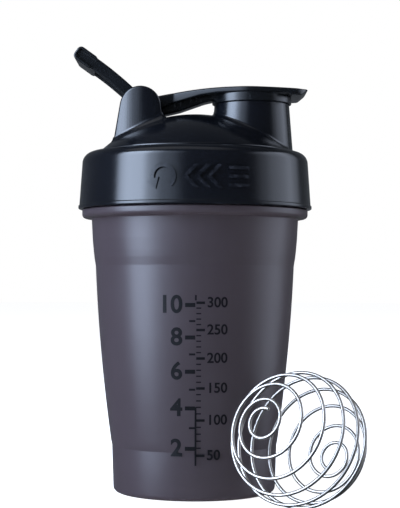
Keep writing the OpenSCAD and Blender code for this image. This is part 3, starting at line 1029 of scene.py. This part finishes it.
def make_ball():
    pole, side_u, side_v = ball_frame()
    centre = Vector((*BALL_AT, BALL_R + WIRE_R))
    per_turn, sides = 84, 14
    steps = int(BALL_TURNS * per_turn)

    def open_pole(angle):
        return (abs(angle) ** 4 + END_RING**4) ** 0.25

    def spot(i):
        even = 180 * i / steps
        polar = math.radians(open_pole(even) if even < 90 else 180 - open_pole(180 - even))
        turn = math.radians(BALL_PHASE + 360 * BALL_TURNS * i / steps)
        flat = math.cos(turn) * side_u + math.sin(turn) * side_v
        return math.sin(polar) * flat + math.cos(polar) * pole

    def ring(i, thick, ahead):
        out = spot(i)
        along = (spot(i + 0.5) - spot(i - 0.5)).normalized()
        across = out.cross(along)
        angles = [math.tau * j / sides for j in range(sides)]
        return [
            centre + BALL_R * out + ahead * along + thick * (math.cos(a) * out + math.sin(a) * across)
            for a in angles
        ]

    rounds = [math.radians(a) for a in (15, 40, 65)]
    rings = [ring(0, WIRE_R * math.sin(a), -WIRE_R * math.cos(a) * 0.6) for a in rounds]
    rings += [ring(i, WIRE_R, 0) for i in range(steps + 1)]
    rings += [ring(steps, WIRE_R * math.sin(a), WIRE_R * math.cos(a) * 0.6) for a in rounds[::-1]]
    ball = skin("whisk_wire", rings)
    paint_space = ball.data.uv_layers.new(name="Wire")
    pitch = math.tau * BALL_R / per_turn
    for face in ball.data.polygons:
        rows = [v // sides for v in face.vertices]
        for loop, v in zip(face.loop_indices, face.vertices):
            turn = v % sides
            if turn == 0 and max(w % sides for w in face.vertices) == sides - 1 and len(rows) == 4:
                turn = sides
            paint_space.data[loop].uv = (v // sides * pitch / 10, turn / sides)
    return ball


# ---------------------------------------------------------------------------------------------
# Build
# ---------------------------------------------------------------------------------------------

lid_plastic = moulded_plastic("lid_plastic", (0.0030, 0.0036, 0.0052), (0.0048, 0.0056, 0.0080), 0.15)
cap_plastic = moulded_plastic("cap_plastic", (0.0034, 0.0040, 0.0050), (0.0054, 0.0064, 0.0078), 0.2)
cup_plastic = smoky_plastic()

hand_over(make_cup(), "cup", cup_plastic, "cup")
hand_over(make_scale(), "cup", printed_ink())
hand_over(make_lid(), "lid", lid_plastic, "lid")
hand_over(make_relief(), "lid", lid_plastic)
hand_over(make_seal(), "seal", silicone(), "lid_seal")
hand_over(make_cap(), "cap", cap_plastic, "flip_cap")
hand_over(make_loop(), "loop", cap_plastic, "carry_loop", sharp=60)
hand_over(make_ball(), "ball", steel_wire(), "whisk_ball", sharp=60)


# ---------------------------------------------------------------------------------------------
# Studio
# ---------------------------------------------------------------------------------------------


def make_floor():
    """A wide round sheet of pale paper that glows a little, as over a light table."""
    bm = bmesh.new()
    bmesh.ops.create_circle(bm, cap_ends=True, segments=128, radius=6)
    mesh = bpy.data.meshes.new("floor")
    bm.to_mesh(mesh)
    bm.free()
    floor = bpy.data.objects.new("floor", mesh)
    floor.location.z = -0.0002
    bpy.context.scene.collection.objects.link(floor)
    p = Paint("pale_paper")
    paper = p.blend(p.noise(9, 2), (0.86, 0.86, 0.86), (0.9, 0.9, 0.9))
    p.set(Base_Color=paper, Roughness=0.9, Emission_Color=(1, 1, 1, 1), Emission_Strength=0.93)
    mesh.materials.append(p.material)
    floor.visible_glossy = False


def softbox(name, azimuths, height, distance, tall, radiance, colour, across, down=(1, 1)):
    """An area light that faces the bottle. Azimuth 0 is the camera's side, 90 is +X.

    It fills the span of azimuths. Its brightness across them follows the stops (azimuth, share),
    and down gives its share at its lower and its upper edge.
    """
    light = bpy.data.lights.new(name, "AREA")
    light.shape = "RECTANGLE"
    half = math.radians(azimuths[1] - azimuths[0]) / 2
    light.size, light.size_y = 2 * distance * math.tan(half), tall
    light.energy = radiance * math.pi * light.size * light.size_y
    light.color = colour
    light.use_nodes = True
    tree = light.node_tree
    spot = tree.nodes.new("ShaderNodeSeparateXYZ")
    tree.links.new(tree.nodes.new("ShaderNodeNewGeometry").outputs["Parametric"], spot.inputs[0])
    ramp = tree.nodes.new("ShaderNodeValToRGB")
    ramp.color_ramp.interpolation = "EASE"
    ramp.color_ramp.elements.remove(ramp.color_ramp.elements[1])
    for k, (azimuth, share) in enumerate(across):
        turn = math.radians(azimuth - sum(azimuths) / 2)
        place = 0.5 + 0.5 * math.tan(turn) / math.tan(half)
        stop = ramp.color_ramp.elements[0] if k == 0 else ramp.color_ramp.elements.new(place)
        stop.position = place
        stop.color = (share, share, share, 1)
    tree.links.new(spot.outputs["X"], ramp.inputs["Fac"])
    rise = tree.nodes.new("ShaderNodeMapRange")
    rise.inputs["To Min"].default_value, rise.inputs["To Max"].default_value = down
    tree.links.new(spot.outputs["Y"], rise.inputs["Value"])
    product = tree.nodes.new("ShaderNodeMath")
    product.operation = "MULTIPLY"
    tree.links.new(ramp.outputs["Color"], product.inputs[0])
    tree.links.new(rise.outputs["Result"], product.inputs[1])
    tree.links.new(product.outputs["Value"], tree.nodes["Emission"].inputs["Strength"])
    holder = bpy.data.objects.new(name, light)
    a, e = math.radians(sum(azimuths) / 2), math.radians(height)
    out = Vector((math.sin(a) * math.cos(e), -math.cos(a) * math.cos(e), math.sin(e)))
    holder.location = Vector((0, 0, 0.09)) + out * distance
    holder.rotation_mode = "QUATERNION"
    holder.rotation_quaternion = (-out).to_track_quat("-Z", "Y")
    holder.visible_camera = False
    bpy.context.scene.collection.objects.link(holder)


def make_room():
    """A white room seen directly; in reflections it is dim in front and lighter behind."""
    world = bpy.data.worlds.new("room")
    world.use_nodes = True
    tree = world.node_tree
    background = tree.nodes["Background"]
    direction = tree.nodes.new("ShaderNodeTexCoord").outputs["Generated"]
    split = tree.nodes.new("ShaderNodeSeparateXYZ")
    tree.links.new(direction, split.inputs[0])
    shade = tree.nodes.new("ShaderNodeMapRange")
    for key, value in (("From Min", 0.1), ("From Max", 0.9), ("To Min", 0.05), ("To Max", 0.13)):
        shade.inputs[key].default_value = value
    tree.links.new(split.outputs["Y"], shade.inputs["Value"])
    seen = tree.nodes.new("ShaderNodeLightPath").outputs["Is Camera Ray"]
    most = tree.nodes.new("ShaderNodeMath")
    most.operation = "MAXIMUM"
    tree.links.new(seen, most.inputs[0])
    tree.links.new(shade.outputs["Result"], most.inputs[1])
    tree.links.new(most.outputs["Value"], background.inputs["Strength"])
    tint = tree.nodes.new("ShaderNodeMix")
    tint.data_type = "RGBA"
    tint.inputs[6].default_value, tint.inputs[7].default_value = (0.8, 0.88, 1, 1), (1, 1, 1, 1)
    tree.links.new(seen, tint.inputs["Factor"])
    tree.links.new(tint.outputs[2], background.inputs["Color"])
    bpy.context.scene.world = world


def make_camera():
    data = bpy.data.cameras.new("camera")
    data.lens = 99.5
    data.shift_y = 0.059
    data.clip_start, data.clip_end = 0.01, 50
    camera = bpy.data.objects.new("camera", data)
    camera.location = (0.0022, -0.59, 0.0865)
    camera.rotation_euler = (math.radians(90), math.radians(-0.18), 0)
    bpy.context.scene.collection.objects.link(camera)
    bpy.context.scene.camera = camera


make_floor()
softbox("left_box", (-84, -10), 14, 1.15, 1.3, 15.0, (0.64, 0.77, 1.0),
        [(-84, 0), (-76, 0.75), (-69, 1), (-54, 1), (-44, 0.42), (-32, 0.15), (-10, 0)], (0.6, 1))
softbox("right_box", (60, 128), 12, 1.2, 1.3, 2.7, (0.74, 0.82, 1.0),
        [(60, 0), (72, 0.34), (84, 0.75), (96, 0.88), (107, 1), (117, 0.5), (128, 0)], (0.7, 1))
softbox("top_box", (-60, 20), 75, 1.3, 0.7, 0.7, (0.95, 0.97, 1.0),
        [(-60, 0.6), (-45, 1), (-10, 0.6), (20, 0)])
make_room()
make_camera()
bpy.context.scene.view_settings.view_transform = "Standard"

bpy.context.view_layer.update()
